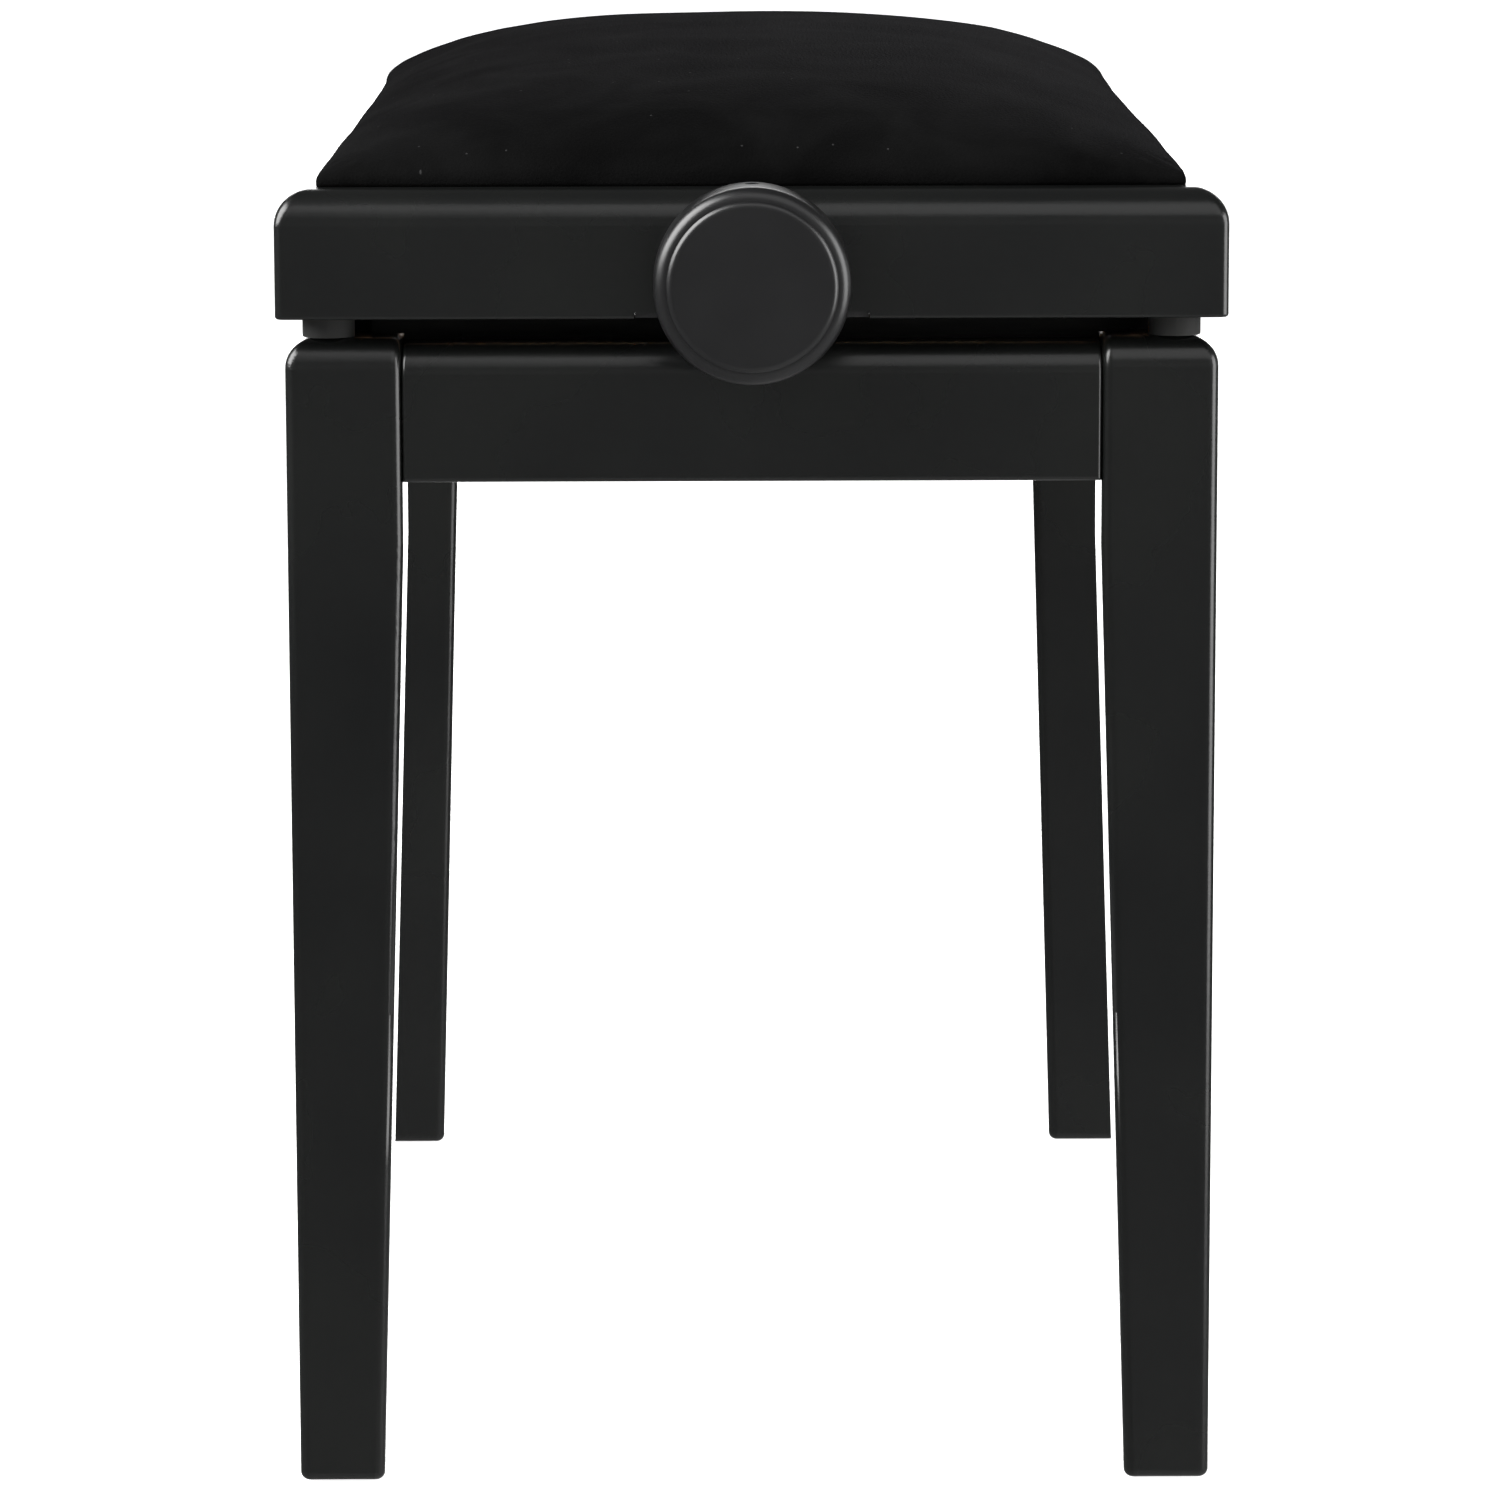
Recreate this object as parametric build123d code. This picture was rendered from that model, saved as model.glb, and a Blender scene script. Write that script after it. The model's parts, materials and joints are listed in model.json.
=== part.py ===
from build123d import *
import math
import os

# Adjustable piano bench with a scissor lift worked by a spindle through the seat frame.
# Millimetres. Origin on the floor under the middle of the bench, +X along its length,
# +Y across its width, +Z up. The lift is drawn at its lowest height.

# ---- Base: four legs and four aprons ----
BASE_LENGTH = 550.0
BASE_WIDTH = 320.0
LEG_HEIGHT = 404.5            # floor to leg top
LEG_SIDE = 40.0
FOOT_SIDE = 29.7
LEG_EDGE_ROUND = 3.5
LEG_TOP_ROUND = 10.0         # on the two outer edges of the leg top
FOOT_ROUND = 3.0
TAPER_DROP = 22.0             # straight stretch of a leg below the aprons
APRON_HEIGHT = 47.3
APRON_THICKNESS = 20.0
APRON_SETBACK = 1.0           # apron face behind the legs' outer faces
APRON_DROP = 2.0              # apron top below the leg top
APRON_TOP_ROUND = 10.0
APRON_EDGE_ROUND = 1.5

LIP_THICKNESS = 8.0           # strips inside the aprons that hide the lift
LIP_GAP = 2.0                 # lip top below the seat frame

# ---- Feet and bumpers ----
GLIDE_DIAMETER = 18.0
GLIDE_THICKNESS = 0.8
GLIDE_NAIL_DIAMETER = 2.5
GLIDE_NAIL_LENGTH = 14.0
BUMPER_DIAMETER = 18.0
BUMPER_THICKNESS = 7.15
BUMPER_INSET = 14.5           # bumper centre from the base's outer faces
BUMPER_POCKET_DIAMETER = 9.0
BUMPER_POCKET_DEPTH = 3.5
BUMPER_SCREW_LENGTH = 22.0

# ---- Corner blocks and leg bolts ----
BLOCK_REACH = 40.0            # base block along each apron, past the leg
BLOCK_GAP = 2.0               # between a block and the end of a channel
BLOCK_HEIGHT = 38.0
BLOCK_DROP = 5.0              # block top below the apron top
BOLT_DIAMETER = 8.0
BOLT_DEPTH_IN_LEG = 28.0
BOLT_HEAD_FLATS = 13.0
BOLT_HEAD_HEIGHT = 5.3
BOLT_SPACING = 20.0
WASHER_DIAMETER = 17.0
WASHER_THICKNESS = 1.6

# ---- Seat frame ----
SEAT_OVERHANG = 3.0           # seat frame past the base, each way
RAIL_HEIGHT = 44.0
RAIL_THICKNESS = 24.0
RAIL_TOP_ROUND = 12.0
RAIL_CORNER_ROUND = 3.0
RAIL_BOTTOM_ROUND = 1.2
SEAT_BLOCK_HEIGHT = 35.0

# ---- Upholstery ----
PAD_SIDE_INSET = 13.5         # cover edge in from the side rails' faces
PAD_END_INSET = 16.0          # cover edge in from the end rails' faces
PAD_RISE = 40.0               # crown above the cover's lower edge
PAD_GAP = 0.35                # soft edge above the frame
COVER_THICKNESS = 1.2
BOARD_MARGIN = 2.0            # foam left around the board's upper edge
BOARD_THICKNESS = 9.0
BOARD_CORNER = 45.0
BOARD_CHAMFER = 6.0
BOARD_SCREW_BITE = 6.5

# ---- Lift: channels, arms and pivots ----
CHANNEL_HEIGHT = 20.0
CHANNEL_DEPTH = 14.0
CHANNEL_WALL = 2.0
CHANNEL_LIFT = 1.0            # base channel above the apron's lower edge
CHANNEL_OVERRUN = 13.0        # channel end past the pivots
CHANNEL_SCREW_REACH = 115.0
ARM_WIDTH = 22.0
ARM_THICKNESS = 3.0
ARM_GAP = 1.0                 # between channel and outer arm, and between the arms
PIN_DIAMETER = 8.0
PIN_HEAD_DIAMETER = 14.0
PIN_HEAD_HEIGHT = 2.5
SPACER_DIAMETER = 12.0
RING_DIAMETER = 13.0
RING_THICKNESS = 1.0
TIE_DIAMETER = 10.0
TIE_SHIFT = 40.0              # arm tie from the lower pivots
RUNNING = 0.05                # radial clearance of a turning or sliding fit
END_PLAY = 0.3                # side clearance of a turning fit

# ---- Spindle, nut, bearings and knobs ----
SPINDLE_RISE = 14.0           # spindle axis above the rails' lower edge
SPINDLE_DIAMETER = 12.0
THREAD_DEPTH = 0.9
THREAD_PITCH = 3.0
THREAD_REACH_OUT = 24.0       # thread past the cross bar at the lowest height
THREAD_REACH_IN = 60.0        # thread towards the middle of the bench
CROSS_BAR_SIDE = 22.0
NUT_DIAMETER = 18.0
NUT_FLANGE_DIAMETER = 30.0
NUT_FLANGE_THICKNESS = 3.0
NOTCH_WIDTH = 80.5
NOTCH_HEIGHT = 2.4
BRACKET_THICKNESS = 2.0
BRACKET_HEIGHT = 32.0
BRACKET_SETBACK = 2.0         # bracket foot behind the rail's outer face
BRACKET_SCREW_REACH = 28.0
BUSH_DIAMETER = 16.0
BUSH_LENGTH = 16.0
BUSH_FLANGE_DIAMETER = 24.0
BUSH_FLANGE_THICKNESS = 2.0
RAIL_HOLE_DIAMETER = 18.0
COLLAR_DIAMETER = 24.0
COLLAR_LENGTH = 10.0
SET_SCREW_DIAMETER = 5.0
SET_SCREW_RECESS = 0.8
KNOB_DIAMETER = 67.0
KNOB_LENGTH = 28.0
KNOB_GAP = 5.0                # knob behind the rail's face
KNOB_BORE_DEPTH = 18.0
KNOB_FACE_DIAMETER = 58.0     # the raised flat face inside the rounded rim
KNOB_FACE_STEP = 1.2
KNOB_FACE_ROUND = 2.5         # edge of the raised face
KNOB_RIM_ROUND = (KNOB_DIAMETER - KNOB_FACE_DIAMETER) / 2
KNOB_BACK_ROUND = 3.0

# ---- Wood and machine screws ----
SCREW_DIAMETER = 4.0
SCREW_HEAD_DIAMETER = 8.0
SCREW_HEAD_HEIGHT = 2.4
SCREW_LENGTH = 16.0

# ---- Places that follow from the sizes above ----
LEG_TOP = LEG_HEIGHT
APRON_TOP = LEG_TOP - APRON_DROP
APRON_BOTTOM = APRON_TOP - APRON_HEIGHT
APRON_INSIDE = APRON_SETBACK + APRON_THICKNESS
SEAT_BOTTOM = LEG_TOP + BUMPER_THICKNESS
SEAT_TOP = SEAT_BOTTOM + RAIL_HEIGHT
SEAT_LENGTH = BASE_LENGTH + 2 * SEAT_OVERHANG
SEAT_WIDTH = BASE_WIDTH + 2 * SEAT_OVERHANG
CHANNEL_REACH = BASE_LENGTH / 2 - LEG_SIDE - BLOCK_REACH - BLOCK_GAP
PIVOT_REACH = CHANNEL_REACH - CHANNEL_OVERRUN
SPINDLE_Z = SEAT_BOTTOM + SPINDLE_RISE
BASE_PIVOT_Z = APRON_BOTTOM + CHANNEL_LIFT + CHANNEL_HEIGHT / 2
REST_ANGLE = math.degrees(math.atan2(SPINDLE_Z - BASE_PIVOT_Z, 2 * PIVOT_REACH))
ARM_LENGTH = math.hypot(SPINDLE_Z - BASE_PIVOT_Z, 2 * PIVOT_REACH)
ARM_CROSSING_Z = (SPINDLE_Z + BASE_PIVOT_Z) / 2
BASE_WALL_Y = BASE_WIDTH / 2 - APRON_INSIDE
SEAT_WALL_Y = SEAT_WIDTH / 2 - RAIL_THICKNESS
CHANNEL_MOUTH_Y = min(BASE_WALL_Y, SEAT_WALL_Y) - CHANNEL_DEPTH
OUTER_ARM_Y = CHANNEL_MOUTH_Y - ARM_GAP
OUTER_ARM_INSIDE_Y = OUTER_ARM_Y - ARM_THICKNESS
INNER_ARM_Y = OUTER_ARM_INSIDE_Y - ARM_GAP
INNER_ARM_INSIDE_Y = INNER_ARM_Y - ARM_THICKNESS
SLIDE_BUSH_DIAMETER = CHANNEL_HEIGHT - 2 * CHANNEL_WALL - 2 * RUNNING
RAIL_INSIDE_X = SEAT_LENGTH / 2 - RAIL_THICKNESS
SEAT_BLOCK_REACH = RAIL_INSIDE_X - CHANNEL_REACH - BLOCK_GAP
BRACKET_X = RAIL_INSIDE_X - BRACKET_THICKNESS
BUSH_FLANGE_X = BRACKET_X - BUSH_FLANGE_THICKNESS
COLLAR_X = BUSH_FLANGE_X - END_PLAY
KNOB_BACK_X = SEAT_LENGTH / 2 + KNOB_GAP
PAD_LENGTH = SEAT_LENGTH - 2 * PAD_END_INSET
PAD_WIDTH = SEAT_WIDTH - 2 * PAD_SIDE_INSET
PAD_BOTTOM = SEAT_TOP + PAD_GAP

SIDES = {"left": -1, "right": 1}
ENDS = {"near": 1, "far": -1}
nodes = {}


# ---- Helpers ----
def box(x, y, z):
    """A box from its lowest and highest value along each axis."""
    size = [high - low for low, high in (x, y, z)]
    middle = [(high + low) / 2 for low, high in (x, y, z)]
    return Pos(*middle) * Box(*size)


def rod_x(diameter, x, y, z):
    """A round bar along X, between the two values in x."""
    return Pos(sum(x) / 2, y, z) * Rot(0, 90, 0) * Cylinder(diameter / 2, x[1] - x[0])


def rod_y(diameter, x, y, z):
    """A round bar along Y, between the two values in y."""
    return Pos(x, sum(y) / 2, z) * Rot(90, 0, 0) * Cylinder(diameter / 2, y[1] - y[0])


def rod_z(diameter, x, y, z):
    """A round bar along Z, between the two values in z."""
    return Pos(x, y, sum(z) / 2) * Cylinder(diameter / 2, z[1] - z[0])


def to_end(shape, end):
    """A shape made for the near end, at the near (1) or the far (-1) end."""
    return shape if end > 0 else mirror(shape, about=Plane.YZ)


def to_side(shape, side):
    """A shape made for the right side, on the right (1) or the left (-1)."""
    return shape if side > 0 else mirror(shape, about=Plane.XZ)


def at_both_ends(shape):
    """Two copies of a shape made for the near end."""
    return [to_end(shape, end) for end in ENDS.values()]


def at_both_sides(shape):
    """Two copies of a shape made for the right side."""
    return [to_side(shape, side) for side in SIDES.values()]


def at_corners(shape):
    """Four copies of a shape made for the near right corner."""
    return [copy for half in at_both_ends(shape) for copy in at_both_sides(half)]


def group(name, shapes):
    """A node of one or more separate solids."""
    solids = [solid for shape in shapes for solid in shape.solids()]
    nodes[name] = Compound(children=solids) if len(solids) > 1 else solids[0]


def corner_prism(points, z):
    """An upright prism on a plan outline."""
    outline = make_face(Polyline(*points, close=True))
    return Pos(0, 0, z[0]) * extrude(outline, amount=z[1] - z[0])


# ---- Base ----
def bolt_heights():
    """The heights of the two bolts that hold a leg."""
    middle = APRON_TOP - BLOCK_DROP - BLOCK_HEIGHT / 2
    return [middle - BOLT_SPACING / 2, middle + BOLT_SPACING / 2]


def bolt_plane(height):
    """A plane at the leg's inner edge that faces the leg's outer corner."""
    corner = (BASE_LENGTH / 2 - LEG_SIDE, BASE_WIDTH / 2 - LEG_SIDE, height)
    return Plane(origin=corner, z_dir=(1, 1, 0))


def block_depth():
    """The base block's thickness along the bolt."""
    return (BLOCK_REACH - (LEG_SIDE - APRON_INSIDE)) / math.sqrt(2)


def bolt_shank():
    """A leg bolt's shank, along the Z of its plane."""
    start = -block_depth() - WASHER_THICKNESS
    return rod_z(BOLT_DIAMETER, 0, 0, (start, BOLT_DEPTH_IN_LEG))


def leg():
    """The near right leg: square above, tapered on its two inner faces below."""
    def section(side, z):
        middle = (BASE_LENGTH / 2 - side / 2, BASE_WIDTH / 2 - side / 2, z)
        return Pos(*middle) * RectangleRounded(side, side, LEG_EDGE_ROUND)

    taper_top = APRON_BOTTOM - TAPER_DROP
    x = (BASE_LENGTH / 2 - LEG_SIDE, BASE_LENGTH / 2)
    y = (BASE_WIDTH / 2 - LEG_SIDE, BASE_WIDTH / 2)
    upper = box(x, y, (taper_top, LEG_TOP))
    rim = upper.faces().sort_by(Axis.Z)[-1].edges()
    upper = fillet([rim.sort_by(Axis.X)[-1], rim.sort_by(Axis.Y)[-1]], LEG_TOP_ROUND)
    upper = fillet(upper.edges().filter_by(Axis.Z), LEG_EDGE_ROUND)
    lower = loft([section(FOOT_SIDE, GLIDE_THICKNESS), section(LEG_SIDE, taper_top)], ruled=True)
    lower = fillet(lower.faces().sort_by(Axis.Z)[0].edges(), FOOT_ROUND)
    body = upper + lower
    for height in bolt_heights():
        body -= bolt_plane(height) * bolt_shank()
    return body - bumper_screw() - glide()


def glide():
    """A nail-on glide under the foot."""
    x = (BASE_LENGTH - FOOT_SIDE) / 2
    y = (BASE_WIDTH - FOOT_SIDE) / 2
    disc = rod_z(GLIDE_DIAMETER, x, y, (0, GLIDE_THICKNESS))
    return disc + rod_z(GLIDE_NAIL_DIAMETER, x, y, (0, GLIDE_THICKNESS + GLIDE_NAIL_LENGTH))


def bumper_screw():
    """The screw that holds a bumper on the leg top."""
    x = BASE_LENGTH / 2 - BUMPER_INSET
    y = BASE_WIDTH / 2 - BUMPER_INSET
    seat = SEAT_BOTTOM - BUMPER_POCKET_DEPTH
    head = rod_z(SCREW_HEAD_DIAMETER, x, y, (seat, seat + SCREW_HEAD_HEIGHT))
    return head + rod_z(SCREW_DIAMETER, x, y, (seat - BUMPER_SCREW_LENGTH, seat))


def bumper():
    """A rubber disc between the leg top and the seat frame."""
    x = BASE_LENGTH / 2 - BUMPER_INSET
    y = BASE_WIDTH / 2 - BUMPER_INSET
    disc = rod_z(BUMPER_DIAMETER, x, y, (LEG_TOP, SEAT_BOTTOM))
    pocket = rod_z(BUMPER_POCKET_DIAMETER, x, y, (SEAT_BOTTOM - BUMPER_POCKET_DEPTH, SEAT_BOTTOM))
    return disc - pocket - bumper_screw()


def apron(x, y, outward):
    """A board between two legs, its outer face's edges rounded, the upper one most."""
    board = box(x, y, (APRON_BOTTOM, APRON_TOP))
    face = board.faces().sort_by(outward)[-1]
    upper = face.edges().sort_by(Axis.Z)[-1]
    board = fillet(upper, APRON_TOP_ROUND)
    face = board.faces().sort_by(outward)[-1]
    others = face.edges().sort_by(Axis.Z)[:-1]
    return fillet(others, APRON_EDGE_ROUND)


def base_block():
    """A corner block behind the leg, between the two aprons."""
    wall_x = BASE_LENGTH / 2 - APRON_INSIDE
    wall_y = BASE_WIDTH / 2 - APRON_INSIDE
    leg_x = BASE_LENGTH / 2 - LEG_SIDE
    leg_y = BASE_WIDTH / 2 - LEG_SIDE
    points = [(wall_x, leg_y), (wall_x, leg_y - BLOCK_REACH), (leg_x - BLOCK_REACH, wall_y)]
    points += [(leg_x, wall_y), (leg_x, leg_y)]
    top = APRON_TOP - BLOCK_DROP
    block = corner_prism(points, (top - BLOCK_HEIGHT, top))
    for height in bolt_heights():
        block -= bolt_plane(height) * bolt_shank()
    return block


def leg_bolt():
    """A hexagon-head bolt with its washer side at the block."""
    head_top = -block_depth() - WASHER_THICKNESS
    hexagon = RegularPolygon(BOLT_HEAD_FLATS / 2, 6, major_radius=False)
    head = Pos(0, 0, head_top - BOLT_HEAD_HEIGHT) * extrude(hexagon, amount=BOLT_HEAD_HEIGHT)
    return head + bolt_shank()


def bolt_washer():
    """The washer under a leg bolt's head."""
    face = -block_depth()
    ring = rod_z(WASHER_DIAMETER, 0, 0, (face - WASHER_THICKNESS, face))
    return ring - bolt_shank()


def lips():
    """Strips on the blocks and leg tops that close the gap below the seat frame to the eye."""
    wall_x = BASE_LENGTH / 2 - APRON_INSIDE
    wall_y = BASE_WIDTH / 2 - APRON_INSIDE
    inner_x = wall_x - LIP_THICKNESS
    inner_y = wall_y - LIP_THICKNESS
    leg_x = BASE_LENGTH / 2 - LEG_SIDE
    leg_y = BASE_WIDTH / 2 - LEG_SIDE
    top = SEAT_BOTTOM - LIP_GAP
    low = (APRON_TOP - BLOCK_DROP, top)
    high = (LEG_TOP, top)
    end_lip = box((inner_x, wall_x), (-leg_y, leg_y), low)
    end_lip += box((inner_x, wall_x), (-inner_y, inner_y), high)
    side_lip = box((-leg_x, leg_x), (inner_y, wall_y), low)
    side_lip += box((-inner_x, inner_x), (inner_y, wall_y), high)
    return at_both_ends(end_lip) + at_both_sides(side_lip)


def make_base():
    """Legs, aprons, blocks and everything fixed to them but the lift."""
    for end_name, end in ENDS.items():
        for side_name, side in SIDES.items():
            nodes[f"leg_{end_name}_{side_name}"] = to_side(to_end(leg(), end), side)
    inside_x = BASE_LENGTH / 2 - LEG_SIDE
    inside_y = BASE_WIDTH / 2 - LEG_SIDE
    face_x = BASE_LENGTH / 2 - APRON_SETBACK
    face_y = BASE_WIDTH / 2 - APRON_SETBACK
    end_apron = apron((face_x - APRON_THICKNESS, face_x), (-inside_y, inside_y), Axis.X)
    side_apron = apron((-inside_x, inside_x), (face_y - APRON_THICKNESS, face_y), Axis.Y)
    for end_name, end in ENDS.items():
        nodes[f"apron_{end_name}"] = to_end(end_apron, end)
    for side_name, side in SIDES.items():
        nodes[f"apron_{side_name}"] = to_side(side_apron, side)
    bolts = [bolt_plane(height) * leg_bolt() for height in bolt_heights()]
    washers = [bolt_plane(height) * bolt_washer() for height in bolt_heights()]
    group("base_corner_blocks", at_corners(base_block()))
    group("leg_bolts", [copy for bolt in bolts for copy in at_corners(bolt)])
    group("leg_bolt_washers", [copy for washer in washers for copy in at_corners(washer)])
    group("base_lips", lips())
    group("foot_glides", at_corners(glide()))
    group("bumpers", at_corners(bumper()))
    group("bumper_screws", at_corners(bumper_screw()))


# ---- Seat frame and upholstery ----
def frame_ring():
    """The whole rounded seat frame before it is cut into rails."""
    block = extrude(Rectangle(SEAT_LENGTH, SEAT_WIDTH), amount=RAIL_HEIGHT)
    block = fillet(block.edges().filter_by(Axis.Z), RAIL_CORNER_ROUND)
    block = fillet(block.faces().sort_by(Axis.Z)[-1].edges(), RAIL_TOP_ROUND)
    block = fillet(block.faces().sort_by(Axis.Z)[0].edges(), RAIL_BOTTOM_ROUND)
    hole = (SEAT_LENGTH - 2 * RAIL_THICKNESS, SEAT_WIDTH - 2 * RAIL_THICKNESS)
    block -= extrude(Rectangle(*hole), amount=RAIL_HEIGHT)
    return Pos(0, 0, SEAT_BOTTOM) * block


def mitre(inner, outer):
    """An upright prism on a trapezium: its short side inside, its long side outside."""
    points = [inner, (inner[0], -inner[1]), (outer[0], -outer[1]), outer]
    return corner_prism(points, (SEAT_BOTTOM, SEAT_TOP))


def end_rail(ring):
    """The near end rail, notched below for the bracket and bored for the spindle."""
    inner = (RAIL_INSIDE_X, SEAT_WALL_Y)
    rail = ring & mitre(inner, (SEAT_LENGTH / 2, SEAT_WIDTH / 2))
    notch_x = (RAIL_INSIDE_X, SEAT_LENGTH / 2)
    notch_y = (-NOTCH_WIDTH / 2, NOTCH_WIDTH / 2)
    rail -= box(notch_x, notch_y, (SEAT_BOTTOM, SEAT_BOTTOM + NOTCH_HEIGHT))
    rail -= rod_x(RAIL_HOLE_DIAMETER, notch_x, 0, SPINDLE_Z)
    for screw in bracket_screws():
        rail -= screw
    return rail


def side_rail(ring):
    """The right rail, mitred to the end rails, with holes for the channel's screws."""
    plan = [(RAIL_INSIDE_X, SEAT_WALL_Y), (-RAIL_INSIDE_X, SEAT_WALL_Y)]
    plan += [(-SEAT_LENGTH / 2, SEAT_WIDTH / 2), (SEAT_LENGTH / 2, SEAT_WIDTH / 2)]
    rail = ring & corner_prism(plan, (SEAT_BOTTOM, SEAT_TOP))
    for screw in channel_screws(SEAT_WALL_Y, SPINDLE_Z):
        rail -= screw
    return rail


def seat_block():
    """A corner block inside the seat frame, up to the underside of the board."""
    points = [(RAIL_INSIDE_X, SEAT_WALL_Y), (RAIL_INSIDE_X, SEAT_WALL_Y - SEAT_BLOCK_REACH)]
    points += [(RAIL_INSIDE_X - SEAT_BLOCK_REACH, SEAT_WALL_Y)]
    return corner_prism(points, (SEAT_TOP - SEAT_BLOCK_HEIGHT, SEAT_TOP)) - board_screw()


def board_screw():
    """A long screw up through a seat block into the board."""
    x = RAIL_INSIDE_X - SEAT_BLOCK_REACH / 3
    y = SEAT_WALL_Y - SEAT_BLOCK_REACH / 3
    seat = SEAT_TOP - SEAT_BLOCK_HEIGHT
    head = rod_z(SCREW_HEAD_DIAMETER, x, y, (seat - SCREW_HEAD_HEIGHT, seat))
    return head + rod_z(SCREW_DIAMETER, x, y, (seat, SEAT_TOP + BOARD_SCREW_BITE))


def dome(inset, bottom):
    """A crowned pad: two elliptical vaults that cross, cut level at the bottom."""
    length = PAD_LENGTH - 2 * inset
    width = PAD_WIDTH - 2 * inset
    rise = PAD_RISE - inset
    lift = Pos(0, 0, PAD_BOTTOM)
    across = lift * extrude(Plane.YZ * Ellipse(width / 2, rise), amount=length, both=True)
    along = lift * extrude(Plane.XZ * Ellipse(length / 2, rise), amount=width, both=True)
    upper = (-length / 2, length / 2), (-width / 2, width / 2), (bottom, PAD_BOTTOM + rise)
    return across & along & box(*upper)


def board_half(pad_side):
    """Half the board's side that fits under the pad's vault with foam around it."""
    share = BOARD_THICKNESS / (PAD_RISE - COVER_THICKNESS)
    return (pad_side / 2 - COVER_THICKNESS) * math.sqrt(1 - share**2) - BOARD_MARGIN


def make_seat():
    """Rails, blocks, board, foam and cover."""
    ring = frame_ring()
    near_rail = end_rail(ring)
    right_rail = side_rail(ring)
    for end_name, end in ENDS.items():
        nodes[f"seat_rail_{end_name}"] = to_end(near_rail, end)
    for side_name, side in SIDES.items():
        nodes[f"seat_rail_{side_name}"] = to_side(right_rail, side)
    group("seat_corner_blocks", at_corners(seat_block()))
    group("board_screws", at_corners(board_screw()))
    half_length = board_half(PAD_LENGTH)
    half_width = board_half(PAD_WIDTH)
    plan = RectangleRounded(2 * half_length, 2 * half_width, BOARD_CORNER)
    board = Pos(0, 0, SEAT_TOP) * extrude(plan, amount=BOARD_THICKNESS)
    board = chamfer(board.faces().sort_by(Axis.Z)[-1].edges(), BOARD_CHAMFER)
    foam = dome(COVER_THICKNESS, PAD_BOTTOM) - board
    cover = dome(0, PAD_BOTTOM) - dome(COVER_THICKNESS, PAD_BOTTOM)
    for screw in at_corners(board_screw()):
        board -= screw
    nodes["seat_board"] = board
    nodes["foam_pad"] = foam
    nodes["velvet_cover"] = cover


# ---- Lift ----
def channel_screws(wall, z):
    """Screws inside the right channel, through its web into the wood behind."""
    face = wall - CHANNEL_WALL
    screws = []
    for x in (-CHANNEL_SCREW_REACH, 0, CHANNEL_SCREW_REACH):
        head = rod_y(SCREW_HEAD_DIAMETER, x, (face - SCREW_HEAD_HEIGHT, face), z)
        screws.append(head + rod_y(SCREW_DIAMETER, x, (face, face + SCREW_LENGTH), z))
    return screws


def channel(wall, z):
    """The right steel channel, open towards the middle of the bench."""
    outer_z = (z - CHANNEL_HEIGHT / 2, z + CHANNEL_HEIGHT / 2)
    inner_z = (outer_z[0] + CHANNEL_WALL, outer_z[1] - CHANNEL_WALL)
    x = (-CHANNEL_REACH, CHANNEL_REACH)
    body = box(x, (CHANNEL_MOUTH_Y, wall), outer_z)
    body -= box(x, (CHANNEL_MOUTH_Y, wall - CHANNEL_WALL), inner_z)
    for screw in channel_screws(wall, z):
        body -= screw
    return body - rod_y(PIN_DIAMETER, -PIVOT_REACH, (CHANNEL_MOUTH_Y, wall), z)


def arm(y, angle, holes):
    """A flat arm with round ends, tilted by angle, its three holes given by diameter."""
    slot = SlotCenterToCenter(ARM_LENGTH, ARM_WIDTH, rotation=angle)
    plane = Plane(origin=(0, y, ARM_CROSSING_Z), x_dir=(1, 0, 0), z_dir=(0, -1, 0))
    body = plane * extrude(slot, amount=ARM_THICKNESS)
    rise = math.copysign(ARM_LENGTH / 2 * math.sin(math.radians(REST_ANGLE)), angle)
    for share, diameter in zip((-1, 0, 1), holes):
        span = (y - ARM_THICKNESS, y)
        body -= rod_y(diameter, share * PIVOT_REACH, span, ARM_CROSSING_Z + share * rise)
    return body


def ring_y(outer, inner, x, y, z):
    """A short tube or washer along Y."""
    return rod_y(outer, x, y, z) - rod_y(inner, x, y, z)


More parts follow.
